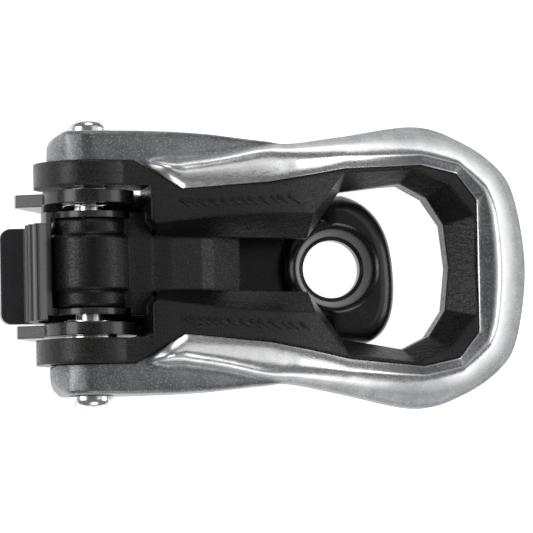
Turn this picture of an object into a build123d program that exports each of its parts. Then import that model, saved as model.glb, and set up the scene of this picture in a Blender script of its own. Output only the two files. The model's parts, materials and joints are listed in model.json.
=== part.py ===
from build123d import *
from math import cos, radians, sin
import os

os.makedirs("parts", exist_ok=True)

# A ladder-strap ratchet buckle.  Millimetres, +X towards the finger loop, +Z up.
# The origin is the strap bolt hole's axis, at the underside of the base.

# ---- driving dimensions ---------------------------------------------------------
ladder_width = 16.0          # toothed strap that the channel guides
ladder_side_gap = 0.4        # each side of the strap
ladder_room = 4.4            # clear height over the floor
plate = 1.8                  # base floor and side walls
running = 0.05               # radial clearance of a turning pin
body_gap = 0.3               # between pieces that move past each other

bolt_hole_radius = 4.2
dish_rim_radius = 6.7
tongue_height = 5.0
tongue_rounding = 2.4

pivot_x = -37.6
pivot_z = 15.0
pivot_pin_radius = 2.0
sleeve_wall = 0.4
ear_radius = 6.5
prow_x = -47.3               # left tips of the side walls
prow_z = 10.8

barrel_half = 3.9            # drum in the middle of the lever's hub
barrel_radius = 5.75
hub_half = 6.3               # the hub's two shoulders, beside the drum
hub_radius = 5.2
hub_edge = 0.4
cheek_width = 0.9            # the release tab's two ears on the pivot
cheek_radius = 5.2
bridge_radius = 7.4          # inner radius of the tab's ribbed back
bridge_thickness = 1.3
tab_right = 5.6              # the tab sits to one side of the centreline
tab_end = -49.3
lip_corner = 1.5
lip_thickness = 1.7
washer_radius = 3.7
washer_thickness = 0.5
shim_thickness = 0.35

insert_ear_width = 3.5
insert_ear_radius = 7.7
bail_arm_width = 4.3
bail_tip_radius = 5.8
rivet_head_radius = 3.1
rivet_head_height = 1.6

loop_end = 28.9              # from the bolt hole to the end of the loop
insert_step = 0.8            # insert's top lies this far under the rim
joint_gap = 0.06             # insert to bail
ledge_width = 2.3
ledge_top = 2.2
lever_bottom = 0.6

drive_offset = 5.0           # drive pawl pin from the main pivot
drive_angle = -110.0
drive_pin_radius = 0.9
drive_reach = 10.0
drive_rest_angle = -47.7
lock_x = -22.5
lock_z = 8.8
lock_pin_radius = 1.0
spring_wire = 0.5

# ---- sizes that follow ------------------------------------------------------------
channel_half = ladder_width / 2 + ladder_side_gap
wall_outer = channel_half + plate
cheek_inner = hub_half + 0.1
cheek_outer = cheek_inner + cheek_width
ear_inner = wall_outer + shim_thickness + 0.15
ear_outer = ear_inner + insert_ear_width
arm_inner = ear_outer + joint_gap
arm_outer = arm_inner + bail_arm_width
sleeve_radius = pivot_pin_radius + running + sleeve_wall
band_drop = insert_ear_radius - bail_tip_radius
drive_x = pivot_x + drive_offset * cos(radians(drive_angle))
drive_z = pivot_z + drive_offset * sin(radians(drive_angle))

PIVOT = (pivot_x, pivot_z)
DRIVE = (drive_x, drive_z)
LOCK = (lock_x, lock_z)


def side_plane(y):
    """Drawing plane of a side view, at this y; extruding goes towards +Y."""
    return Plane(origin=(0, y, 0), x_dir=(1, 0, 0), z_dir=(0, 1, 0))


def side(x, z):
    """A point of the side view, on side_plane."""
    return (x, -z)


def polar(centre, radius, degrees):
    """A point of the side view by its angle round a centre, from +X towards +Z."""
    x = centre[0] + radius * cos(radians(degrees))
    z = centre[1] + radius * sin(radians(degrees))
    return side(x, z)


# ---- shared outlines ---------------------------------------------------------------
# the lever's top line and under line, as seen from the side
def rim_line(drop):
    return [side(pivot_x, pivot_z + insert_ear_radius - drop), side(-22, 20.9 - drop),
            side(-6, 17.0 - drop), side(8, 11.0 - drop), side(18, 8.5 - drop),
            side(loop_end - 5.5, 8.0 - drop)]


UNDER_LINE = [side(14, lever_bottom), side(4, 5.0), side(-8, 10.4), side(-22, 12.0),
              side(-29, 12.2)]

# the bail's outer outline from above, one half
OUTER_HALF = [(-24, arm_outer), (-9, 17.05), (0, 18.5), (10.6, 20.4), (18.1, 18.9),
              (24.1, 15.4), (27.7, 9.6), (loop_end, 0)]

# the pocket that the insert lies in, one half
POCKET_HALF = [(-50, arm_inner), (-32, arm_inner), (-25, 10.2), (-12, 11.3), (0, 13.6),
               (12, 14.5), (17.5, 13.3), (20.5, 9.5), (20.5, 0)]

# the finger opening and the gap over the strap channel, one half
window_half = 3.8
OPENING_HALF = [(-36, window_half), (-5.4, window_half), (-0.2, 10.6), (4, 11.2),
                (9.4, 12.0), (13.6, 10.0), (16.2, 6.2), (16.9, 0)]

# the tongue's edge, which reaches further on one side than on the other
TONGUE_EDGE = [(1.0, -11.2), (7.6, -8.6), (8.9, -1.0), (6.9, 6.8), (1.5, 10.6)]


def mirrored(points):
    """A closed outline from the half on the +Y side."""
    return points + [(x, -y) for x, y in reversed(points) if y > 0]


with BuildSketch() as outer_sketch:
    with BuildLine():
        Polyline((-50, arm_outer), OUTER_HALF[0])
        Spline(OUTER_HALF, tangents=((1, 0), (0, -1)))
        Polyline((loop_end, 0), (-50, 0), (-50, arm_outer))
    make_face()
    mirror(about=Plane.XZ)

with BuildSketch() as pocket_sketch:
    with BuildLine():
        Polyline(mirrored(POCKET_HALF), close=True)
    make_face()

with BuildSketch() as insert_sketch:
    add(pocket_sketch.sketch)
    offset(amount=-joint_gap, kind=Kind.INTERSECTION)

with BuildSketch() as ledge_sketch:
    add(pocket_sketch.sketch)
    offset(amount=-ledge_width, kind=Kind.INTERSECTION, mode=Mode.REPLACE)

# ---- places and side views that follow from the sizes --------------------------------
ledge_start = 6.0
screw_radius = 0.8
screw_head_radius = 1.2
screw_bite = 2.6
SCREW_PLACES = [(8.5, 13.3), (8.5, -13.3), (19.4, 5.5), (19.4, -5.5)]
head_y = arm_outer + 0.1
shim_radius = 3.9
slot_wall = pivot_x + insert_ear_radius + body_gap

# draft of the finger opening, on a plane under the insert's top
opening_draft = 33.0
draft_slope = 17.6
draft_origin_x = -14.0
draft_plane = Plane(origin=(draft_origin_x, 0, 13.7),
                    x_dir=(cos(radians(draft_slope)), 0, -sin(radians(draft_slope))),
                    z_dir=(sin(radians(draft_slope)), 0, cos(radians(draft_slope))))
draft_half = [((x - draft_origin_x) / cos(radians(draft_slope)), y)
              for x, y in OPENING_HALF]

# plate behind the hub, and the web between the arms
web_half = window_half + 0.3
plate_start = pivot_x + cheek_radius + body_gap
PLATE = [(plate_start, 17.2), (slot_wall + 0.8, 16.7), (slot_wall + 0.8, 14.4),
         (plate_start, 14.4)]
PLATE_ROOT = [(pivot_x, 17.0), (plate_start + 0.2, 17.2), (plate_start + 0.2, 14.4),
              (pivot_x, 14.0)]
WEB = [(slot_wall, 16.75), (-26.0, 16.2), (-21.4, 15.0), (-19.6, 14.1), (-15.2, 11.0),
       (-15.2, 10.2), (-21.6, 12.6), (slot_wall, 14.4)]
EASE = [(slot_wall - 0.1, 6.0), (slot_wall + 0.5, 5.6), (slot_wall + 1.0, 4.6),
        (slot_wall + 1.8, window_half), (slot_wall + 1.8, -window_half),
        (slot_wall + 1.0, -4.6), (slot_wall + 0.5, -5.6), (slot_wall - 0.1, -6.0)]

drive_half = 2.4
drive_head_radius = 1.5
drive_head_right = 0.8
drive_lobe_radius = 2.0
drive_pocket_half = 2.6
drive_foot_half = 3.5
drive_wire = 0.35
foot_x = drive_x + drive_reach * cos(radians(drive_rest_angle))
foot_z = drive_z + drive_reach * sin(radians(drive_rest_angle))
DRIVE_ARM = [(drive_x + 1.2, drive_z + 0.9), (foot_x + 0.3, foot_z + 1.8),
             (foot_x - 1.6, foot_z + 1.2), (drive_x - 1.0, drive_z - 1.1)]
DRIVE_FOOT = [(foot_x + 0.1, foot_z), (foot_x + 0.5, foot_z + 2.4),
              (foot_x - 1.4, foot_z + 3.2), (foot_x - 2.2, foot_z + 2.0),
              (foot_x - 0.5, foot_z)]

tab_left = channel_half - 0.4
tab_width = tab_right + tab_left
bridge_outer = bridge_radius + bridge_thickness
bridge_start = 152.0
bridge_stop = 228.0
rib_step = 13.0
rib_radius = 0.35
bar_inner = barrel_radius + 0.25
bar_outer = bar_inner + 0.75
bar_start = 160.0
bar_stop = 192.0
LIP = [(-42.6, 9.4), (-43.4, 7.6), (tab_end, 6.7), (tab_end, 6.7 + lip_thickness),
       (-46.0, 8.9), (-44.6, 10.2)]
press_point = (-28.2, 10.2)
press_radius = 0.8
PRESS_ARM = [PIVOT, (-32.3, 11.4), (press_point[0] + 0.2, press_point[1] + 0.78),
             (press_point[0], press_point[1] - 0.8), (-35.0, 9.0)]

lock_hub_radius = 2.2
lock_half = channel_half - 0.5
tail_inner = barrel_half + 0.5
tail_outer = cheek_outer - 0.1
spring_slot_half = 2.0
LOCK_TOOTH = [(-23.8, 7.2), (-17.6, 2.6), (-16.5, 2.6), (-17.0, 5.2), (-21.0, 10.3)]
LOCK_TAIL = [(-22.5, 7.0), (-28.9, 7.6), (-28.9, 8.6), (-27.4, 8.9), (-22.5, 10.6)]

# ---- base: floor, side walls with pivot ears, tongue with the bolt hole --------------
with BuildPart() as tongue:
    with BuildSketch():
        with BuildLine():
            Spline(TONGUE_EDGE)
            Polyline(TONGUE_EDGE[-1], (-2, TONGUE_EDGE[-1][1]), (-2, TONGUE_EDGE[0][1]),
                     TONGUE_EDGE[0])
        make_face()
        Circle(dish_rim_radius + 1.0)
    extrude(amount=tongue_height)
    fillet(tongue.faces().sort_by(Axis.Z)[-1].edges(), radius=tongue_rounding)

with BuildPart() as base_frame:
    add(tongue.part)
    with BuildSketch():
        with BuildLine():
            Polyline((-42, -wall_outer), (0, -wall_outer), (0, wall_outer),
                     (-42, wall_outer), close=True)
        make_face()
    extrude(amount=plate)
    for wall_y in (channel_half, -wall_outer):
        with BuildSketch(side_plane(wall_y)):
            with BuildLine():
                Polyline(side(-42, 0), side(prow_x, prow_z - 1.4), side(prow_x, prow_z),
                         side(-42.5, prow_z + 2.4), side(-31.5, prow_z + 2.0),
                         side(-29.0, 9.6), side(-21, 9.6), side(-14, 4.6), side(-2, 4.6),
                         side(-2, 0), close=True)
            make_face()
            with Locations(side(pivot_x, pivot_z)):
                Circle(ear_radius)
            with Locations(side(lock_x, lock_z)):
                Circle(lock_pin_radius + 1.5)
        extrude(amount=plate)
    # dish round the bolt hole
    with BuildSketch(Plane.XZ):
        with BuildLine():
            Spline((bolt_hole_radius + 0.4, plate), (bolt_hole_radius + 1.0, 3.3),
                   (dish_rim_radius, tongue_height + 0.05), tangents=((0.15, 1), (1, 0.25)))
            Polyline((dish_rim_radius, tongue_height + 0.05), (0, tongue_height + 0.05),
                     (0, plate), (bolt_hole_radius + 0.4, plate))
        make_face()
    revolve(axis=Axis.Z, mode=Mode.SUBTRACT)
    Cylinder(bolt_hole_radius, 20, mode=Mode.SUBTRACT)
    with Locations(Location((pivot_x, 0, pivot_z), (90, 0, 0))):
        Cylinder(pivot_pin_radius, 40, mode=Mode.SUBTRACT)
    with Locations(Location((lock_x, 0, lock_z), (90, 0, 0))):
        Cylinder(lock_pin_radius, 40, mode=Mode.SUBTRACT)

# ---- lever: slab of the arched side view, cut to each piece's outline -------------------
def lever_slab(drop):
    with BuildPart() as slab:
        with BuildSketch(side_plane(-25)):
            with BuildLine():
                Spline(rim_line(drop))
                Polyline(rim_line(drop)[-1], side(loop_end, 1.8), side(loop_end, lever_bottom),
                         UNDER_LINE[0])
                Spline(UNDER_LINE)
                Polyline(UNDER_LINE[-1], side(pivot_x, pivot_z - bail_tip_radius),
                         rim_line(drop)[0])
            make_face()
        extrude(amount=50)
    return slab.part


def drill(centre, radius):
    """Cut a hole along Y, right through the part being built."""
    with Locations(Location((centre[0], 0, centre[1]), (90, 0, 0))):
        Cylinder(radius, 60, mode=Mode.SUBTRACT)


def disc(centre, radius, y_from, width):
    """Add a disc whose axis is along Y to the part being built."""
    with BuildSketch(side_plane(y_from)) as face:
        with Locations(side(*centre)):
            Circle(radius)
    extrude(face.sketch, amount=width)


def profile(points, y_from, width):
    """Add a plate cut to a side view of (x, z) points to the part being built."""
    with BuildSketch(side_plane(y_from)) as face:
        with BuildLine():
            Polyline([side(x, z) for x, z in points], close=True)
        make_face()
    extrude(face.sketch, amount=width)


# ---- lever bail: arms, rim, flat outer band and the ledge under the insert ------------
with BuildPart() as band_air:
    for turn in (1, -1):
        with BuildSketch():
            with BuildLine():
                Polyline((-50, turn * 10), (-25.4, turn * 10), (-31.8, turn * 14.6))
                Spline((-31.8, turn * 14.6), (-20, turn * 15.7), (-8.5, turn * 17.1))
                Polyline((-8.5, turn * 17.1), (-8.5, turn * 25), (-50, turn * 25),
                         (-50, turn * 10))
            make_face()
        extrude(amount=30)
    add(lever_slab(band_drop), mode=Mode.SUBTRACT)

with BuildPart() as lever_bail:
    with BuildSketch():
        add(outer_sketch.sketch)
    extrude(amount=30)
    add(lever_slab(0), mode=Mode.INTERSECT)
    with BuildSketch():
        add(pocket_sketch.sketch)
    extrude(amount=30, mode=Mode.SUBTRACT)
    add(band_air.part, mode=Mode.SUBTRACT)
    for arm_y in (arm_inner, -arm_outer):
        disc(PIVOT, bail_tip_radius, arm_y, bail_arm_width)
    with BuildSketch(Plane.XY.offset(lever_bottom)):
        add(pocket_sketch.sketch)
        add(ledge_sketch.sketch, mode=Mode.SUBTRACT)
        with Locations((ledge_start + 20, 0)):
            Rectangle(40, 60, mode=Mode.INTERSECT)
    extrude(amount=ledge_top - lever_bottom)
    drill(PIVOT, pivot_pin_radius + running)
    for place in SCREW_PLACES:
        with Locations((place[0], place[1], lever_bottom)):
            with Locations(Rotation(180, 0, 0)):
                CounterSinkHole(screw_radius, screw_head_radius, depth=8, counter_sink_angle=90)

# ---- lever insert: outer ears, arms, web, middle hub and finger loop -------------------
with BuildPart() as lever_insert:
    with BuildSketch():
        add(insert_sketch.sketch)
    extrude(amount=30)
    add(lever_slab(insert_step), mode=Mode.INTERSECT)
    with BuildSketch():
        with Locations((slot_wall - 20, 0)):
            Rectangle(40, 2 * ear_inner)
        with BuildLine():
            Polyline(mirrored(OPENING_HALF), close=True)
        make_face()
    extrude(amount=30, mode=Mode.SUBTRACT)
    # the drafted walls over the opening start on a plane that slopes with the lever
    with BuildSketch(draft_plane):
        with BuildLine():
            Polyline(mirrored(draft_half), close=True)
        make_face()
    extrude(amount=9, taper=-opening_draft, mode=Mode.SUBTRACT)
    with BuildSketch():
        add(pocket_sketch.sketch)
        add(ledge_sketch.sketch, mode=Mode.SUBTRACT)
        with Locations((ledge_start - joint_gap + 20, 0)):
            Rectangle(40, 60, mode=Mode.INTERSECT)
    extrude(amount=ledge_top + joint_gap, mode=Mode.SUBTRACT)
    for ear_y in (ear_inner, -ear_outer):
        disc(PIVOT, insert_ear_radius, ear_y, insert_ear_width)
    with BuildSketch():
        add(insert_sketch.sketch)
    extrude(amount=30, mode=Mode.INTERSECT)
    with BuildSketch(Plane.XY.offset(16.0)):
        with BuildLine():
            Polyline(EASE, close=True)
        make_face()
    extrude(amount=10, mode=Mode.SUBTRACT)
    with BuildSketch(Plane.XY.offset(pivot_z)) as hub_outline:
        with BuildLine():
            for turn in (1, -1):
                Polyline((pivot_x, turn * hub_half),
                         (pivot_x + hub_radius - hub_edge, turn * hub_half),
                         (pivot_x + hub_radius, turn * (hub_half - hub_edge)),
                         (pivot_x + hub_radius, turn * (barrel_half + hub_edge)))
                Spline((pivot_x + hub_radius, turn * (barrel_half + hub_edge)),
                       (pivot_x + barrel_radius, turn * (barrel_half - hub_edge)),
                       tangents=((0, -turn), (0, -turn)))
            Line((pivot_x + barrel_radius, barrel_half - hub_edge),
                 (pivot_x + barrel_radius, hub_edge - barrel_half))
            Line((pivot_x, hub_half), (pivot_x, -hub_half))
        make_face()
    revolve(hub_outline.sketch, axis=Axis((pivot_x, 0, pivot_z), (0, 1, 0)))
    disc(DRIVE, drive_lobe_radius, -barrel_half, 2 * barrel_half)
    profile(PLATE_ROOT, -hub_half, 2 * hub_half)
    profile(PLATE, -cheek_outer, 2 * cheek_outer)
    profile(WEB, -web_half, 2 * web_half)
    with Locations((drive_x, 0, drive_z + drive_head_radius + 0.25)):
        Box(20, 2 * drive_pocket_half, 20, align=(Align.CENTER, Align.CENTER, Align.MAX),
            mode=Mode.SUBTRACT)
    drill(PIVOT, pivot_pin_radius + running)
    with Locations(Location((pivot_x, 0, pivot_z), (90, 0, 0))):
        Cylinder(sleeve_radius, 2 * hub_half, mode=Mode.SUBTRACT)
    with Locations(Location((drive_x, 0, drive_z), (90, 0, 0))):
        Cylinder(drive_pin_radius, 2 * barrel_half, mode=Mode.SUBTRACT)
    for place in SCREW_PLACES:
        with Locations((place[0], place[1], ledge_top)):
            Cylinder(screw_radius, 2 * screw_bite, mode=Mode.SUBTRACT)

with BuildPart() as insert_screws:
    for place in SCREW_PLACES:
        with Locations((place[0], place[1], lever_bottom)):
            Cone(screw_head_radius, screw_radius, screw_head_radius - screw_radius,
                 align=(Align.CENTER, Align.CENTER, Align.MIN))
            Cylinder(screw_radius, ledge_top + screw_bite - lever_bottom,
                     align=(Align.CENTER, Align.CENTER, Align.MIN))

# ---- main pivot: riveted pin, sleeve in the lever's hub, washers -----------------------
with BuildPart() as pivot_rivet:
    with BuildSketch(Plane.XY.offset(pivot_z)):
        with BuildLine():
            Polyline((pivot_x, head_y + rivet_head_height), (pivot_x, 0),
                     (pivot_x + pivot_pin_radius, 0), (pivot_x + pivot_pin_radius, head_y),
                     (pivot_x + rivet_head_radius, head_y),
                     (pivot_x + rivet_head_radius, head_y + 0.5))
            TangentArc((pivot_x + rivet_head_radius, head_y + 0.5),
                       (pivot_x + 1.2, head_y + rivet_head_height), tangent=(0, 1))
            Polyline((pivot_x + 1.2, head_y + rivet_head_height),
                     (pivot_x, head_y + rivet_head_height))
        make_face()
    revolve(axis=Axis((pivot_x, 0, pivot_z), (0, 1, 0)))
    mirror(about=Plane.XZ)

with BuildPart() as pivot_sleeve:
    disc(PIVOT, sleeve_radius, -hub_half, 2 * hub_half)
    drill(PIVOT, pivot_pin_radius + running)


def washer(radius, y_from, width):
    with BuildPart() as ring:
        disc(PIVOT, radius, y_from, width)
        drill(PIVOT, pivot_pin_radius + 0.1)
    return ring


wave_washer_left = washer(washer_radius, channel_half - washer_thickness, washer_thickness)
wave_washer_right = washer(washer_radius, -channel_half, washer_thickness)
shim_washer_left = washer(shim_radius, wall_outer, shim_thickness)
shim_washer_right = washer(shim_radius, -wall_outer - shim_thickness, shim_thickness)

# ---- release tab: lip, ribbed back, two cheeks and the arms that press the pawl --------
def sector(inner, outer, start, stop, y_from, width):
    """Add a curved plate round the pivot, between two angles, to the part being built."""
    with BuildSketch(side_plane(y_from)) as face:
        with BuildLine():
            CenterArc(side(*PIVOT), inner, -start, start - stop)
            CenterArc(side(*PIVOT), outer, -start, start - stop)
            Line(polar(PIVOT, inner, start), polar(PIVOT, outer, start))
            Line(polar(PIVOT, inner, stop), polar(PIVOT, outer, stop))
        make_face()
    extrude(face.sketch, amount=width)


with BuildPart() as release_tab:
    sector(bridge_radius, bridge_outer, bridge_start, bridge_stop, -tab_left, tab_width)
    for rib in range(3):
        disc_place = bridge_start + 4 + rib * rib_step
        rib_x = pivot_x + bridge_outer * cos(radians(disc_place))
        rib_z = pivot_z + bridge_outer * sin(radians(disc_place))
        disc((rib_x, rib_z), rib_radius, -tab_left, tab_width)
    profile(LIP, -tab_left, tab_width)
    fillet(release_tab.edges().filter_by(Axis.Z).group_by(Axis.X)[0], radius=lip_corner)
    # the bar joins the ribbed back to the cheeks, close round the drum
    sector(bar_inner, bar_outer, bar_start, bar_stop, -cheek_outer, 2 * cheek_outer)
    sector(bar_outer - 0.1, bridge_radius + 0.2, bar_start, bar_stop, -cheek_outer,
           cheek_outer + tab_right)
    for cheek_y, pad_y in ((cheek_inner, tail_inner), (-cheek_outer, -cheek_outer)):
        disc(PIVOT, cheek_radius, cheek_y, cheek_width)
        sector(cheek_radius - 2, bar_outer, bar_start, bar_stop, cheek_y, cheek_width)
        profile(PRESS_ARM, cheek_y, cheek_width)
        disc(press_point, press_radius, pad_y, cheek_outer - tail_inner)
    drill(PIVOT, pivot_pin_radius + running)

# ---- lock pawl: forked tail, toothed bar, its pin and spring ---------------------------
with BuildPart() as lock_pawl:
    disc(LOCK, lock_hub_radius, -lock_half, 2 * lock_half)
    profile(LOCK_TOOTH, -lock_half, 2 * lock_half)
    for tail_y in (tail_inner, -tail_outer):
        profile(LOCK_TAIL, tail_y, tail_outer - tail_inner)
    with Locations((lock_x, 0, lock_z)):
        Box(2 * (lock_hub_radius + 0.4), 2 * spring_slot_half, 12, mode=Mode.SUBTRACT)
    drill(LOCK, lock_pin_radius + running)

with BuildPart() as lock_pawl_pin:
    disc(LOCK, lock_pin_radius, -wall_outer - 0.1, 2 * wall_outer + 0.2)
    disc(LOCK, lock_pin_radius + 0.5, wall_outer, 0.4)
    disc(LOCK, lock_pin_radius + 0.5, -wall_outer - 0.4, 0.4)


def coil(centre, radius, y_from, turns, wire):
    """A close-wound torsion spring round a pin along Y."""
    pitch = wire * 1.25
    with BuildPart() as spring:
        with BuildLine() as winding:
            Helix(pitch, pitch * turns, radius, center=(centre[0], y_from, centre[1]),
                  direction=(0, 1, 0))
        turn_line = winding.line
        with BuildSketch(Plane(origin=turn_line @ 0, z_dir=turn_line % 0)) as section:
            Circle(wire / 2)
        sweep(section.sketch, path=turn_line, is_frenet=True)
    return spring


lock_pawl_spring = coil(LOCK, lock_pin_radius + 0.4 + spring_wire / 2,
                        -spring_slot_half + 0.5, 4, spring_wire)

# ---- drive pawl: rides in the lever's hub and pushes the strap along --------------------
with BuildPart() as drive_pawl:
    disc(DRIVE, drive_head_radius, -drive_half, drive_head_right + drive_half)
    profile(DRIVE_ARM, -drive_half, drive_head_right + drive_half)
    profile(DRIVE_FOOT, -drive_foot_half, 2 * drive_foot_half)
    drill(DRIVE, drive_pin_radius + running)

with BuildPart() as drive_pawl_pin:
    disc(DRIVE, drive_pin_radius, -barrel_half, 2 * barrel_half)

drive_pawl_spring = coil(DRIVE, drive_pin_radius + 0.1 + drive_wire / 2,
                         drive_head_right + 0.35, 3, drive_wire)

# ---- one file for each piece ------------------------------------------------------------
PIECES = {
    "base_frame": base_frame,
    "lever_bail": lever_bail,
    "lever_insert": lever_insert,
    "insert_screws": insert_screws,
    "pivot_rivet": pivot_rivet,
    "pivot_sleeve": pivot_sleeve,
    "wave_washer_left": wave_washer_left,
    "wave_washer_right": wave_washer_right,
    "shim_washer_left": shim_washer_left,
    "shim_washer_right": shim_washer_right,
    "release_tab": release_tab,
    "lock_pawl": lock_pawl,
    "lock_pawl_pin": lock_pawl_pin,
    "lock_pawl_spring": lock_pawl_spring,
    "drive_pawl": drive_pawl,
    "drive_pawl_pin": drive_pawl_pin,
    "drive_pawl_spring": drive_pawl_spring,
}
for name, sub_part in PIECES.items():
    sub_part.part.label = name
    export_step(sub_part.part, "parts/" + name + ".step")
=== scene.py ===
# %% [markdown]
# # A ladder-strap ratchet buckle
#
# The buckle has a black channel-shaped base, a long lever that turns on a rivet, and a
# release tab where the toothed strap goes in. The lever is a bright cast horseshoe, the
# bail, with a black nylon insert inside it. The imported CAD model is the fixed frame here.
# It gives the place of every piece, and this lesson makes the surfaces over it.

# %% Load the frame
import json
import math
import random

import bmesh
import bpy
from mathutils import Matrix, Vector
from mathutils.bvhtree import BVHTree


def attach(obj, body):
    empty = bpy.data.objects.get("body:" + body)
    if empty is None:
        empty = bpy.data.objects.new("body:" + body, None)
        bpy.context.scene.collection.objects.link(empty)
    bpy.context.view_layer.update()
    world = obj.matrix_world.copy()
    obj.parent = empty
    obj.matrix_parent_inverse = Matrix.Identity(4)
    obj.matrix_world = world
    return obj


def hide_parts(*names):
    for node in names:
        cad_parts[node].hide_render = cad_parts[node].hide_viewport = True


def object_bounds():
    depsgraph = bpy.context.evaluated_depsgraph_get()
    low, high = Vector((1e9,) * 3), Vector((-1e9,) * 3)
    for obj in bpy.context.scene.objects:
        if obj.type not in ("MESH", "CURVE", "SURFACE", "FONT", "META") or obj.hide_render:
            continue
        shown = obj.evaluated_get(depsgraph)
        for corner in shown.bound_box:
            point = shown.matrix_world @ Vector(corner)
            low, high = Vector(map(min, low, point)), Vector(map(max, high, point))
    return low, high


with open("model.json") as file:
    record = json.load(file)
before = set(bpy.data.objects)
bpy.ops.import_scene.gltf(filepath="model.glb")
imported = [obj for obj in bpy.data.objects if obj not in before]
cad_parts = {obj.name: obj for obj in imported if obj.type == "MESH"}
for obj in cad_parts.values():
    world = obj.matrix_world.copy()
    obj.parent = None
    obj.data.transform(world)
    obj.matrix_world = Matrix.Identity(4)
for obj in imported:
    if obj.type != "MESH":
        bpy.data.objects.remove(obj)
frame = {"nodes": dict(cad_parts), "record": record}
cad_low, cad_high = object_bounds()
MM = 0.001
print("CAD box, mm:", [round(v / MM, 1) for v in cad_high - cad_low])

# %% [markdown]
# ## Camera, floor and light
#
# The buckle is looked at from almost straight above, a little from the pivot's end and a
# little from the near side. A long lens far away keeps parallel edges parallel, as in a
# catalogue picture. The camera's axes are built one by one, because a camera that looks
# straight down has no safe "up".

# %% Camera
LEAN_X = math.radians(11.0)
LEAN_Y = math.radians(4.0)
ROLL = math.radians(-0.4)
AIM = Vector((-9.2, 0.6, 0.0)) * MM
DISTANCE = 0.75
VIEW_WIDTH = 77.3 * MM


def look_down(camera, aim, distance):
    """Place the camera over the aim point, leaning by the two named angles."""
    back = Vector((-math.tan(LEAN_X), -math.tan(LEAN_Y), 1.0)).normalized()
    right = (Vector((1, 0, 0)) - back * back.x).normalized()
    up = back.cross(right)
    turn = Matrix((right, up, back)).transposed() @ Matrix.Rotation(ROLL, 3, "Z")
    camera.matrix_world = Matrix.Translation(aim + back * distance) @ turn.to_4x4()


camera = bpy.data.objects.new("camera", bpy.data.cameras.new("camera"))
bpy.context.scene.collection.objects.link(camera)
camera.data.sensor_width = 36.0
camera.data.lens = 36.0 * DISTANCE / VIEW_WIDTH
look_down(camera, AIM, DISTANCE)
bpy.context.scene.camera = camera
print("lens, mm:", round(camera.data.lens))

# %% [markdown]
# The floor is a plain white light table, so it glows a little and hardly takes a shadow.
# Polished metal shows what stands round it, so the room is kept a dim grey, which the flat
# tops show. Five soft boxes stand round the buckle at half height, and every rounded edge
# and every slope that leans outwards shows one of them.

# %% Floor
FLOOR_SIZE = 1.5
FLOOR_GAP = 0.02
TABLE_GLOW = 0.84
floor_mesh = bpy.data.meshes.new("floor")
floor = bpy.data.objects.new("floor", floor_mesh)
bpy.context.scene.collection.objects.link(floor)
shape = bmesh.new()
bmesh.ops.create_grid(shape, x_segments=1, y_segments=1, size=FLOOR_SIZE,
                      matrix=Matrix.Translation((0, 0, cad_low.z - FLOOR_GAP * MM)))
shape.to_mesh(floor_mesh)
shape.free()
floor_paint = bpy.data.materials.new("pale_floor")
floor_paint.use_nodes = True
floor_shader = floor_paint.node_tree.nodes["Principled BSDF"]
floor_shader.inputs["Base Color"].default_value = (0.95, 0.95, 0.95, 1)
floor_shader.inputs["Roughness"].default_value = 0.9
floor_shader.inputs["Specular IOR Level"].default_value = 0.0
floor_shader.inputs["Emission Color"].default_value = (1, 1, 1, 1)
floor_shader.inputs["Emission Strength"].default_value = TABLE_GLOW
floor_mesh.materials.append(floor_paint)
print("floor, m:", [round(side, 2) for side in floor.dimensions])


# %% Lights
def softbox(name, place, size, power):
    """A square light that stands at a place and faces the buckle."""
    light = bpy.data.lights.new(name, "AREA")
    light.size = size
    light.energy = power
    lamp = bpy.data.objects.new(name, light)
    bpy.context.scene.collection.objects.link(lamp)
    lamp.location = place
    lamp.rotation_euler = (-Vector(place)).to_track_quat("-Z", "Y").to_euler()
    print(name, "stands", round(Vector(place).length, 2), "m away")


softbox("left_box", (-0.62, 0.08, 0.42), 0.36, 1.7)
softbox("right_box", (0.36, 0.12, 0.60), 0.40, 0.35)
softbox("loop_box", (0.66, 0.0, 0.36), 0.36, 1.0)
softbox("near_box", (0.05, -0.60, 0.46), 0.36, 1.15)
softbox("far_box", (0.0, 0.60, 0.46), 0.36, 1.15)
ROOM_GREY = 0.17
world = bpy.data.worlds.new("studio")
bpy.context.scene.world = world
world.use_nodes = True
world.node_tree.nodes["Background"].inputs["Color"].default_value = (1, 1, 1, 1)
world.node_tree.nodes["Background"].inputs["Strength"].default_value = ROOM_GREY
bpy.context.scene.view_settings.view_transform = "Standard"

# %% [markdown]
# ## Finishes
#
# Every finish is built the same way: a Principled shader, a colour that drifts a little, a
# roughness that is broken up by noise, and a bump. All the patterns read Object
# coordinates, in metres, so a noise scale of 2000 has features of about half a millimetre.
# A Bevel node rounds the sharp edges of the CAD pieces for the light, as moulding, casting
# and coating do on the real ones.


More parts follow.
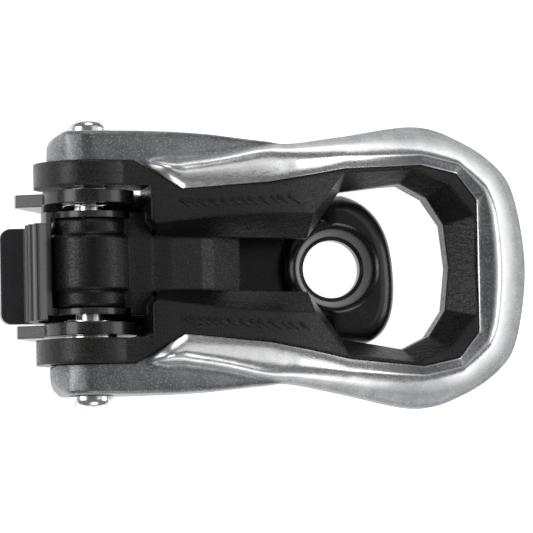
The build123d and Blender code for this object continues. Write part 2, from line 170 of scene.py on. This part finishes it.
# %% A small kit for node trees
class Finish:
    """A material under construction, with one method for each kind of node it needs."""

    def __init__(self, name, colour, metallic, roughness, specular=0.5):
        self.material = bpy.data.materials.new(name)
        self.material.use_nodes = True
        self.nodes = self.material.node_tree.nodes
        self.links = self.material.node_tree.links
        self.shader = self.nodes["Principled BSDF"]
        self.shader.inputs["Base Color"].default_value = (*colour, 1)
        self.shader.inputs["Metallic"].default_value = metallic
        self.shader.inputs["Roughness"].default_value = roughness
        self.shader.inputs["Specular IOR Level"].default_value = specular
        self.place = self.nodes.new("ShaderNodeTexCoord").outputs["Object"]

    def stretched(self, scale):
        """Object coordinates multiplied by a scale for each axis."""
        node = self.nodes.new("ShaderNodeMapping")
        node.inputs["Scale"].default_value = scale
        self.links.new(self.place, node.inputs["Vector"])
        return node.outputs["Vector"]

    def noise(self, scale, detail=3.0, vector=None):
        node = self.nodes.new("ShaderNodeTexNoise")
        node.inputs["Scale"].default_value = scale
        node.inputs["Detail"].default_value = detail
        self.links.new(vector or self.place, node.inputs["Vector"])
        return node.outputs["Fac"]

    def cells(self, scale):
        node = self.nodes.new("ShaderNodeTexVoronoi")
        node.inputs["Scale"].default_value = scale
        self.links.new(self.place, node.inputs["Vector"])
        return node.outputs["Distance"]

    def spread(self, value, low, high, to_low, to_high):
        """Map a value from one range to another, held at both ends."""
        node = self.nodes.new("ShaderNodeMapRange")
        for socket, number in (("From Min", low), ("From Max", high), ("To Min", to_low),
                               ("To Max", to_high)):
            node.inputs[socket].default_value = number
        self.links.new(value, node.inputs["Value"])
        return node.outputs["Result"]

    def math(self, operation, first, second):
        node = self.nodes.new("ShaderNodeMath")
        node.operation = operation
        for socket, value in zip(node.inputs, (first, second)):
            if isinstance(value, (int, float)):
                socket.default_value = value
            else:
                self.links.new(value, socket)
        return node.outputs[0]

    def blend(self, amount, first, second):
        """A colour between two colours; each is a tuple or a socket."""
        node = self.nodes.new("ShaderNodeMix")
        node.data_type = "RGBA"
        self.links.new(amount, node.inputs[0])
        for socket, value in ((node.inputs[6], first), (node.inputs[7], second)):
            if isinstance(value, tuple):
                socket.default_value = (*value, 1)
            else:
                self.links.new(value, socket)
        return node.outputs[2]

    def rounded_edges(self, radius):
        node = self.nodes.new("ShaderNodeBevel")
        node.samples = 6
        node.inputs["Radius"].default_value = radius
        return node.outputs["Normal"]

    def bump(self, height, strength, distance, normal=None):
        node = self.nodes.new("ShaderNodeBump")
        node.inputs["Strength"].default_value = strength
        node.inputs["Distance"].default_value = distance
        self.links.new(height, node.inputs["Height"])
        if normal is not None:
            self.links.new(normal, node.inputs["Normal"])
        return node.outputs["Normal"]

    def painted_edge_mask(self, start, end):
        """Mask for a painted edge highlight: one on the sharpest outer edges, zero on the flats
        and in the hollows.
        """
        node = self.nodes.new("ShaderNodeNewGeometry")
        return self.spread(node.outputs["Pointiness"], start, end, 0.0, 1.0)

    def attribute(self, name):
        node = self.nodes.new("ShaderNodeAttribute")
        node.attribute_name = name
        return node.outputs["Fac"]

    def set(self, socket, value):
        self.links.new(value, self.shader.inputs[socket])


# %% [markdown]
# ### Cast aluminium
#
# The bail is cast, then tumbled, and only its raised rim is buffed. So one material has two
# states, and a vertex attribute named "polish" blends them: tumbled metal is grey, with bright
# specks painted in as glints and tiny pits painted dark as their shade, and buffed metal is
# bright with fine lines along the rim.


# %% Cast aluminium
def make_cast_aluminium():
    paint = Finish("cast_aluminium", (0.62, 0.63, 0.65), 1.0, 0.4)
    polish = paint.attribute("polish")
    speckle = paint.noise(4300, 3.0)
    clouds = paint.noise(420, 4.0)
    pits = paint.spread(paint.cells(2600), 0.05, 0.22, 1.0, 0.0)
    scratches = paint.noise(1.0, 4.0, paint.stretched((500, 5200, 5200)))
    tumbled = paint.blend(paint.spread(clouds, 0.35, 0.65, 0, 1), (0.160, 0.168, 0.182),
                          (0.225, 0.231, 0.243))
    # Bright specks are painted into the tumbled colour as glints.
    tumbled = paint.blend(paint.spread(speckle, 0.52, 0.68, 0, 0.7), tumbled,
                          (0.50, 0.505, 0.51))
    # The pits are painted nearly black, as painted shade in the tiny hollows.
    tumbled = paint.blend(paint.math("MULTIPLY", pits, 0.55), tumbled, (0.05, 0.052, 0.056))
    buffed = paint.blend(paint.spread(clouds, 0.3, 0.7, 0, 1), (0.70, 0.705, 0.715),
                         (0.84, 0.84, 0.845))
    paint.set("Base Color", paint.blend(polish, tumbled, buffed))
    rough = paint.spread(speckle, 0.3, 0.7, 0.34, 0.50)
    smooth = paint.spread(scratches, 0.3, 0.7, 0.20, 0.33)
    keep = paint.math("SUBTRACT", 1.0, polish)
    both = paint.math("ADD", paint.math("MULTIPLY", rough, keep),
                      paint.math("MULTIPLY", smooth, polish))
    paint.set("Roughness", both)
    grain = paint.math("MULTIPLY", paint.math("SUBTRACT", speckle, pits), keep)
    lines = paint.math("MULTIPLY", scratches, 0.18)
    waves = paint.math("MULTIPLY", paint.noise(420, 1.0), 0.3)
    height = paint.math("ADD", paint.math("ADD", grain, lines), waves)
    paint.set("Normal", paint.bump(height, 0.32, 0.00006, paint.rounded_edges(0.0002)))
    return paint.material


# %% [markdown]
# ### Black nylon
#
# The insert is moulded from glass-filled nylon in a tool with a spark-eroded skin. Its
# black is a little brown, its sheen is broken into fine grain, and its sharp outer edges
# are painted greyer as an edge highlight.


# %% Black nylon
def make_black_nylon():
    paint = Finish("black_nylon", (0.006, 0.005, 0.005), 0.0, 0.4, 0.33)
    grain = paint.noise(4200, 3.0)
    flow = paint.noise(1.0, 3.0, paint.stretched((260, 2100, 1500)))
    clouds = paint.noise(180, 3.0)
    body = paint.blend(paint.spread(clouds, 0.3, 0.7, 0, 1), (0.0030, 0.0028, 0.0029),
                       (0.0078, 0.0072, 0.0070))
    # The sharp outer edges are painted greyer: a painted edge highlight.
    painted_edge_light = paint.math("MULTIPLY", paint.painted_edge_mask(0.53, 0.64),
                        paint.spread(grain, 0.35, 0.7, 0.1, 0.8))
    body = paint.blend(painted_edge_light, body, (0.036, 0.034, 0.032))
    paint.set("Base Color", body)
    rough = paint.math("ADD", paint.spread(grain, 0.35, 0.65, 0.20, 0.42),
                       paint.spread(flow, 0.3, 0.7, -0.05, 0.07))
    paint.set("Roughness", rough)
    height = paint.math("ADD", paint.math("MULTIPLY", grain, 0.8), flow)
    paint.set("Normal", paint.bump(height, 0.60, 0.00009, paint.rounded_edges(0.0006)))
    return paint.material


# %% [markdown]
# ### Dip coat, grey coat and the small steel pieces
#
# The base is dipped in a glossy black coat with a faint orange peel, and its sharp edges are
# painted lighter as an edge highlight. The release tab has a thinner, greyer coat. The rivet
# is zinc plated, the washers and springs are bright spring steel, and the pawls are blackened.


# %% Coats and steels
def make_coat(name, dark, light, rough_low, rough_high, clear):
    """A coat of paint on metal, with orange peel, a few dust specks and a painted edge
    highlight.
    """
    paint = Finish(name, dark, 0.0, rough_low, 0.42)
    paint.shader.inputs["Coat Weight"].default_value = clear
    paint.shader.inputs["Coat Roughness"].default_value = 0.12
    peel = paint.noise(900, 2.0)
    fine = paint.noise(6500, 2.0)
    specks = paint.spread(paint.cells(1500), 0.03, 0.09, 1.0, 0.0)
    body = paint.blend(paint.spread(paint.noise(200, 3.0), 0.3, 0.7, 0, 1), dark, light)
    # The sharp outer edges are painted lighter: a painted edge highlight.
    painted_edge_light = paint.math("MULTIPLY", paint.painted_edge_mask(0.54, 0.66),
                        paint.spread(fine, 0.4, 0.65, 0.0, 0.7))
    body = paint.blend(painted_edge_light, body, (0.05, 0.05, 0.053))
    paint.set("Base Color", body)
    paint.set("Roughness", paint.spread(fine, 0.3, 0.7, rough_low, rough_high))
    height = paint.math("ADD", paint.math("MULTIPLY", fine, 0.12),
                        paint.math("ADD", peel, paint.math("MULTIPLY", specks, 0.25)))
    paint.set("Normal", paint.bump(height, 0.16, 0.00008, paint.rounded_edges(0.0003)))
    return paint.material


def make_steel(name, dark, light, rough_low, rough_high, lines):
    """Bare or plated steel, with fine lines along one axis and a few dull patches."""
    paint = Finish(name, light, 1.0, rough_low)
    scratches = paint.noise(1.0, 4.0, paint.stretched(lines))
    clouds = paint.noise(700, 4.0)
    body = paint.blend(paint.spread(clouds, 0.35, 0.7, 0, 1), light, dark)
    paint.set("Base Color", body)
    rough = paint.math("ADD", paint.spread(scratches, 0.3, 0.7, rough_low, rough_high),
                       paint.spread(clouds, 0.4, 0.8, 0.0, 0.10))
    paint.set("Roughness", rough)
    height = paint.math("ADD", scratches, paint.math("MULTIPLY", clouds, 0.5))
    paint.set("Normal", paint.bump(height, 0.20, 0.00003, paint.rounded_edges(0.00012)))
    return paint.material


ALONG_Y = (6000, 500, 6000)
ALONG_X = (500, 6000, 6000)
FINISHES = {
    "cast_aluminium": make_cast_aluminium(),
    "black_nylon": make_black_nylon(),
    "black_coat": make_coat("black_coat", (0.0030, 0.0030, 0.0036), (0.0060, 0.0060, 0.0070),
                            0.22, 0.36, 0.30),
    "grey_coat": make_coat("grey_coat", (0.012, 0.012, 0.0145), (0.022, 0.022, 0.0255),
                           0.26, 0.40, 0.45),
    "dark_steel": make_steel("dark_steel", (0.09, 0.09, 0.095), (0.16, 0.16, 0.165),
                             0.30, 0.45, ALONG_X),
    "bright_steel": make_steel("bright_steel", (0.55, 0.55, 0.57), (0.80, 0.80, 0.82),
                               0.14, 0.28, ALONG_Y),
    "spring_steel": make_steel("spring_steel", (0.50, 0.49, 0.46), (0.82, 0.81, 0.78),
                               0.16, 0.30, ALONG_Y),
}
for name, material in FINISHES.items():
    print(name, "has", len(material.node_tree.nodes), "nodes")

# %% [markdown]
# Each CAD node gets the finish that its record names, so the record stays the one place
# that says what a piece is made of.

# %% Paint the CAD nodes
slot_of = {entry["node"]: entry["material_slot"] for entry in frame["record"]["subparts"]}
for name, node in frame["nodes"].items():
    for slot in node.material_slots:
        slot.material = FINISHES[slot_of[name]]
    print(name, "is", slot_of[name])


# %% [markdown]
# ## Lever bail
#
# The bail is one casting whose section changes all the way round: a flat band with a
# raised rim on the arms, and a crest with a sloping outside at the finger loop. A grid is
# the right start for such a shape. One direction of the grid runs along the horseshoe, from
# tip to tip, and the other runs round the section. Each grid point is then carried to its
# place, so every edge of the mesh follows an edge of the casting.
#
# The lever's side view gives the heights: the rim's line and the underside's line.


# %% Side view of the lever
def through(points, x):
    """Height at x on a smooth line through the points, which are sorted by x."""
    last = len(points) - 1
    if x <= points[0][0]:
        return points[0][1]
    if x >= points[last][0]:
        return points[last][1]
    k = max(i for i in range(last) if points[i][0] <= x)
    p0, p1, p2, p3 = (points[max(k - 1, 0)], points[k], points[k + 1],
                      points[min(k + 2, last)])
    span = p2[0] - p1[0]
    t = (x - p1[0]) / span
    slope1 = (p2[1] - p0[1]) / (p2[0] - p0[0]) * span
    slope2 = (p3[1] - p1[1]) / (p3[0] - p1[0]) * span
    return ((2 * t**3 - 3 * t**2 + 1) * p1[1] + (t**3 - 2 * t**2 + t) * slope1
            + (3 * t**2 - 2 * t**3) * p2[1] + (t**3 - t**2) * slope2)


PIVOT_X = -37.6
PIVOT_Z = 15.0
TIP_RADIUS = 5.8
RIM_LINE = [(PIVOT_X, 22.7), (-22, 20.9), (-6, 17.0), (8, 11.0), (18, 8.5), (23.4, 8.0)]
UNDER_LINE = [(PIVOT_X, PIVOT_Z - TIP_RADIUS), (-29, 12.2), (-22, 12.0), (-8, 10.4), (4, 5.0),
              (14, 0.6), (30, 0.6)]


def tip_height(x):
    """Half height of the round tip round the pivot."""
    return math.sqrt(max(TIP_RADIUS**2 - (x - PIVOT_X)**2, 0.0))


def underside(x):
    if x < PIVOT_X:
        return PIVOT_Z - tip_height(x)
    return through(UNDER_LINE, x)


print("rim at the waist, mm:", round(through(RIM_LINE, -9), 2))

# %% [markdown]
# The plan gives the two outlines. The inner one is the straight-sided pocket that the
# insert lies in, so its corners have to stay exactly where the insert's corners are. The
# outer one is a smooth curve. The stations below pair a point of the pocket with a point
# of the outside, and say what the section between them looks like there:
# how far across the rim's inner shoulder, its outer shoulder and its outer foot are, and
# how far the foot and the outside edge lie below the rim's line.

# %% Stations along the horseshoe
# pocket (x, y), outside (x, y), inner shoulder, outer shoulder, foot, foot drop, edge drop
STATIONS = [
    ((-43.38, 14.26), (-43.38, 18.56), 0.10, 0.20, 0.50, 1.9, 1.9),
    ((-42.9, 14.26), (-42.9, 18.56), 0.10, 0.20, 0.50, 1.9, 1.9),
    ((-42.2, 14.26), (-42.2, 18.56), 0.10, 0.20, 0.50, 1.9, 1.9),
    ((-40.0, 14.26), (-40.0, 18.56), 0.10, 0.20, 0.50, 1.9, 1.9),
    ((-32.0, 14.26), (-32.2, 18.56), 0.03, 0.06, 0.12, 1.9, 1.9),
    ((-30.9, 13.62), (-30.9, 18.56), 0.05, 0.12, 0.22, 1.9, 1.9),
    ((-29.2, 12.64), (-29.2, 18.52), 0.08, 0.20, 0.33, 1.9, 1.9),
    ((-27.0, 11.36), (-27.1, 18.48), 0.12, 0.29, 0.45, 1.9, 1.9),
    ((-25.0, 10.2), (-25.2, 18.42), 0.14, 0.36, 0.53, 1.9, 1.9),
    ((-20.6, 10.57), (-20.8, 18.16), 0.15, 0.43, 0.60, 1.9, 1.9),
    ((-17.0, 10.88), (-17.2, 17.80), 0.15, 0.52, 0.70, 1.9, 1.95),
    ((-12.0, 11.3), (-12.2, 17.32), 0.16, 0.66, 0.90, 1.9, 2.05),
    ((-8.0, 12.07), (-8.4, 17.08), 0.18, 0.66, 0.96, 2.0, 2.3),
    ((0.0, 13.6), (-0.3, 18.42), 0.18, 0.46, 0.90, 2.4, 3.4),
    ((12.0, 14.5), (11.8, 20.42), 0.12, 0.27, 0.80, 2.9, 4.6),
    ((17.5, 13.3), (18.9, 18.55), 0.10, 0.29, 0.80, 3.2, 4.9),
    ((20.5, 9.5), (24.6, 14.85), 0.08, 0.32, 0.80, 3.4, 5.2),
    ((20.5, 6.0), (27.4, 10.2), 0.06, 0.36, 0.80, 3.6, 5.6),
    ((20.5, 0.0), (28.89, 0.0), 0.06, 0.36, 0.80, 3.8, 5.9),
]
STEPS_PER_MM = 1.6
RIM_STARTS = -30.6
RIM_FULL = -26.8
INSERT_STEP = 0.8
LOOP_STARTS = 2.0
LOOP_FULL = 14.0
LEDGE_WIDTH = 2.3
LEDGE_TOP = 2.2
LEVER_BOTTOM = 0.6
LEDGE_START = 6.0
LEDGE_END = 0.3
OUTER_ROUNDING = 3.0
INNER_ROUNDING = 0.8
print(len(STATIONS), "stations on each side")


# %% Points between the stations
def mixed(first, second, share):
    return first + (second - first) * share


def ease(t):
    """A share from 0 to 1 that starts and stops gently."""
    t = min(max(t, 0.0), 1.0)
    return t * t * (3 - 2 * t)


def smooth_curve(p0, p1, p2, p3, t):
    """The curve from p1 to p2 that heads on smoothly from p0 and towards p3."""
    return 0.5 * ((2 * p1) + (p2 - p0) * t + (2 * p0 - 5 * p1 + 4 * p2 - p3) * t**2
                  + (3 * p1 - p0 - 3 * p2 + p3) * t**3)


def outside_point(k, t):
    """A point of the outside, t of the way from station k to the next."""
    p1, p2 = Vector(STATIONS[k][1]), Vector(STATIONS[k + 1][1])
    p0 = Vector(STATIONS[k - 1][1]) if k > 0 else p1 * 2 - p2
    p3 = Vector(STATIONS[k + 2][1]) if k + 2 < len(STATIONS) else Vector((p1.x, -p1.y))
    return smooth_curve(p0, p1, p2, p3, t)


def station_value(m, k, t):
    """Number m of a station, t of the way from station k to the next."""
    values = [station[m] for station in STATIONS]
    p3 = values[k + 2] if k + 2 < len(values) else values[k]
    return smooth_curve(values[max(k - 1, 0)], values[k], values[k + 1], p3, t)


def ledge_edge(k, t, width):
    """The pocket's outline moved inwards by a width, with its corners kept sharp."""
    points = [Vector(station[0]) for station in STATIONS]
    here = points[k].lerp(points[k + 1], t)

    def normal(i):
        i = min(max(i, 0), len(points) - 2)
        along = (points[i + 1] - points[i]).normalized()
        return Vector((along.y, -along.x))

    first, second = normal(k), normal(k)
    if t == 0.0:
        first = normal(k - 1)
    if t == 1.0:
        second = normal(k + 1)
        if k == len(points) - 2:
            second = Vector((-1, 0))
    middle = (first + second).normalized()
    return here + middle * (width / max(middle.dot(first), 0.5))


rows = []
for k in range(len(STATIONS) - 1):
    length = (Vector(STATIONS[k + 1][1]) - Vector(STATIONS[k][1])).length
    steps = max(2, round(length * STEPS_PER_MM))
    for i in range(steps + (k == len(STATIONS) - 2)):
        t = i / steps
        inner = Vector(STATIONS[k][0]).lerp(Vector(STATIONS[k + 1][0]), t)
        outer = outside_point(k, t)
        shape_here = [station_value(m, k, t) for m in range(2, 7)]
        rows.append((inner, outer, ledge_edge(k, t, LEDGE_WIDTH), shape_here))
print(len(rows), "rows from one tip to the middle of the loop")


# %% [markdown]
# A section is a closed chain of corners, and most of the corners are rounded. Rounding is
# done the way a pattern maker would: cut the corner off on both sides and lay a smooth
# curve through. On the arms the rim is a dome. In the loop its top turns into a ledge that
# slopes inwards, and only the ledge's two edges are buffed. Every section gets the same
# number of points, which is what lets the grid join them.


# %% One section
# corners: outer bottom, outer top, rim's foot, outer shoulder, inner shoulder, joint
ARM_RADII = (0.35, 0.75, 0.9, 1.7, 1.4, 0.18)
LOOP_RADII = (0.35, 0.75, 0.9, 1.1, 0.5, 0.18)
CORNER_STEPS = (3, 6, 6, 10, 8, 4)
# share of polish where each corner's curve starts and ends
ARM_POLISH = ((0.0, 0.0), (0.0, 0.0), (0.1, 0.3), (1.0, 1.0), (1.0, 1.0), (1.0, 1.0))
LOOP_POLISH = ((0.0, 0.0), (0.0, 0.0), (0.1, 0.3), (1.0, 0.0), (0.0, 0.0), (0.7, 1.0))
ARM_SLOPE = 0.25
LOOP_SLOPE = 0.57


def rounded_corner(before, corner, after, radius, steps):
    """Points of a smooth curve that replaces a corner of a flat chain."""
    back = before - corner
    ahead = after - corner
    start = corner + back.normalized() * min(radius, back.length * 0.48)
    end = corner + ahead.normalized() * min(radius, ahead.length * 0.48)
    return [start * (1 - s)**2 + corner * 2 * s * (1 - s) + end * s**2
            for s in [i / steps for i in range(steps + 1)]]


def tip_pull(x, radius):
    """How far a corner of this radius at the tip pulls the side in."""
    near = min(max(radius - (x - (PIVOT_X - TIP_RADIUS)), 0.0), radius)
    return radius - math.sqrt(radius**2 - near**2)


def section(row):
    """Points of one section in 3-D, in millimetres, each with its share of polish."""
    inner, outer, ledge, (shoulder_in, shoulder_out, foot, foot_drop, edge_drop) = row
    width = (outer - inner).length
    x = inner.x
    rise = ease((x - RIM_STARTS) / (RIM_FULL - RIM_STARTS))
    top = through(RIM_LINE, max(x, PIVOT_X))
    band = top - foot_drop
    if x < PIVOT_X:
        band = PIVOT_Z + tip_height(x)
    crest = band + (top - band) * rise
    joint = crest - INSERT_STEP * rise
    edge = band if rise < 1.0 else top - edge_drop
    loop = ease((x - LOOP_STARTS) / (LOOP_FULL - LOOP_STARTS))
    slope = mixed(ARM_SLOPE, LOOP_SLOPE, loop) * rise
    ledge_share = ease((x - LEDGE_START) / LEDGE_END + 0.5)
    bottom = underside(x)
    bottom += (LEVER_BOTTOM - bottom) * ledge_share
    side_bottom = underside(outer.x)
    pull = tip_pull(x, INNER_ROUNDING)
    outer_pull = tip_pull(x, OUTER_ROUNDING)
    chain = [Vector((width - outer_pull, side_bottom)), Vector((width - outer_pull, edge)),
             Vector((width * foot, band)), Vector((width * shoulder_out, crest)),
             Vector((width * shoulder_in, crest - slope)), Vector((pull, joint)),
             Vector((pull, bottom))]
    points = []
    for i, steps in enumerate(CORNER_STEPS):
        before = chain[i - 1] if i > 0 else Vector((0, side_bottom))
        radius = mixed(ARM_RADII[i], LOOP_RADII[i], loop)
        start = mixed(ARM_POLISH[i][0], LOOP_POLISH[i][0], loop)
        end = mixed(ARM_POLISH[i][1], LOOP_POLISH[i][1], loop)
        for j, spot in enumerate(rounded_corner(before, chain[i], chain[i + 1], radius, steps)):
            place = inner.lerp(outer, spot.x / width)
            share = mixed(start, end, ease(1.5 * j / steps - 0.5))
            points.append((place.x, place.y, spot.y, share * rise))
    ledge_at = inner.lerp(ledge, ledge_share)
    ledge_top = max(bottom, LEDGE_TOP) if ledge_share > 0 else bottom
    wall = inner.lerp(outer, pull / width)
    points.append((wall.x, wall.y, ledge_top, 0.0))
    points.append((ledge_at.x + wall.x - inner.x, ledge_at.y + wall.y - inner.y,
                   ledge_top, 0.0))
    points.append((ledge_at.x + wall.x - inner.x, ledge_at.y + wall.y - inner.y,
                   bottom, 0.0))
    return points


around = len(section(rows[0]))
print(around, "points in each section")


# %% [markdown]
# The grid is made by one operator. Its first and last rows fall on the same points,
# which closes the section, and the two open ends are filled at the tips.


# %% Helpers for finished pieces
def finished(name, shape, finish, body, replaced=None, sharp=35.0):
    """Turn a bmesh into a piece that rides on a body and shows a finish."""
    mesh = bpy.data.meshes.new(name)
    bmesh.ops.recalc_face_normals(shape, faces=shape.faces[:])
    shape.to_mesh(mesh)
    shape.free()
    mesh.shade_smooth()
    mesh.set_sharp_from_angle(angle=math.radians(sharp))
    piece = bpy.data.objects.new(name, mesh)
    bpy.context.scene.collection.objects.link(piece)
    mesh.materials.append(FINISHES[finish])
    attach(piece, body)
    if replaced:
        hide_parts(replaced)
    print(name, "has", len(mesh.polygons), "faces")


# %% Make the bail
columns = 2 * len(rows) - 1
bail = bmesh.new()
polish_layer = bail.verts.layers.float.new("polish")
bmesh.ops.create_grid(bail, x_segments=columns - 1, y_segments=around, size=1.0)
half_sections = [section(row) for row in rows]
for vert in bail.verts:
    i = round((vert.co.x + 1) / 2 * (columns - 1))
    j = round((vert.co.y + 1) / 2 * around) % around
    side = 1
    if i >= len(rows):
        i = columns - 1 - i
        side = -1
    x, y, z, polish = half_sections[i][j]
    vert.co = Vector((x, side * y, z)) * MM
    vert[polish_layer] = polish
bmesh.ops.remove_doubles(bail, verts=bail.verts[:], dist=0.002 * MM)
bmesh.ops.holes_fill(bail, edges=[e for e in bail.edges if e.is_boundary], sides=0)
finished("cast_bail", bail, "cast_aluminium", "lever", "lever_bail", 40.0)

# %% [markdown]
# ## Wave washers
#
# Between the hub and each ear of the base sits a wave washer, a thin steel ring pressed
# into three waves. It is spun from a small upright rectangle, and then every point is
# shifted along the pivot by a sine of its angle.

# %% Make the wave washers
WASHER_INNER = 2.15
WASHER_OUTER = 3.62
WASHER_STEEL = 0.2
WASHER_SPACE = 0.5
CHANNEL_HALF = 8.4
WAVES = 3
WAVE_STEPS = 96
WAVE_SHARE = 0.96


def wave_washer(name, middle_y):
    """A ring round the pivot that waves within the washer's space."""
    ring = bmesh.new()
    half = WASHER_STEEL / 2
    corners = [ring.verts.new(Vector((PIVOT_X + reach, middle_y + across, PIVOT_Z)) * MM)
               for reach, across in ((WASHER_INNER, -half), (WASHER_OUTER, -half),
                                     (WASHER_OUTER, half), (WASHER_INNER, half))]
    edges = [ring.edges.new((corners[i], corners[(i + 1) % 4])) for i in range(4)]
    bmesh.ops.spin(ring, geom=corners + edges, cent=Vector((PIVOT_X, 0, PIVOT_Z)) * MM,
                   axis=(0, 1, 0), angle=math.tau, steps=WAVE_STEPS, use_merge=True)
    lift = (WASHER_SPACE - WASHER_STEEL) / 2 * WAVE_SHARE
    for vert in ring.verts:
        turn = math.atan2(vert.co.z - PIVOT_Z * MM, vert.co.x - PIVOT_X * MM)
        vert.co.y += lift * math.sin(WAVES * turn) * MM
    finished(name + "_spring", ring, "spring_steel", "base", name, 60.0)


wave_washer("wave_washer_left", CHANNEL_HALF - WASHER_SPACE / 2)
wave_washer("wave_washer_right", -CHANNEL_HALF + WASHER_SPACE / 2)

# %% [markdown]
# ## Grip marks
#
# The insert's arms carry a row of low raised bars, which lean like the strokes of a hatch
# and vary in length. Each bar is a cube with bevelled edges that is turned to lie on the
# sloping top.

# %% Make the grip marks
MARK_HEIGHT = 0.26
MARK_WIDTH = 0.5
MARK_LEAN = math.radians(28)
MARK_FROM = -24.6
MARK_TO = -6.6
MARK_PITCH = 1.25
MARK_GAPS = (1.0, 1.0, 1.35)
MARK_LENGTHS = (1.6, 2.4)
MARK_Y = 8.25
MARK_SPREAD = 0.045
MARK_ROUNDING = 0.06
insert = frame["nodes"]["lever_insert"]
insert_tree = BVHTree.FromPolygons(
    [insert.matrix_world @ vert.co for vert in insert.data.vertices],
    [tuple(face.vertices) for face in insert.data.polygons])


def insert_top(x, y):
    """The place and the slope of the insert's top, found by looking down on it."""
    place, normal, _, _ = insert_tree.ray_cast(Vector((x, y, 40)) * MM, Vector((0, 0, -1)))
    return place, normal


marks = bmesh.new()
dice = random.Random(7)
for side in (1, -1):
    x = MARK_FROM
    while x < MARK_TO:
        length = dice.uniform(*MARK_LENGTHS)
        place, normal = insert_top(x, side * (MARK_Y + MARK_SPREAD * (x - MARK_FROM)))
        turn = (normal.to_track_quat("Z", "Y").to_matrix().to_4x4()
                @ Matrix.Rotation(-MARK_LEAN, 4, "Z")
                @ Matrix.Diagonal((MARK_WIDTH * MM, length * MM, MARK_HEIGHT * MM, 1)))
        bmesh.ops.create_cube(marks, size=1.0, matrix=Matrix.Translation(place) @ turn)
        x += MARK_PITCH * dice.choice(MARK_GAPS)
bmesh.ops.bevel(marks, geom=marks.edges[:], offset=MARK_ROUNDING * MM, segments=2, profile=0.5,
                affect="EDGES", material=-1)
finished("grip_marks", marks, "black_nylon", "lever")
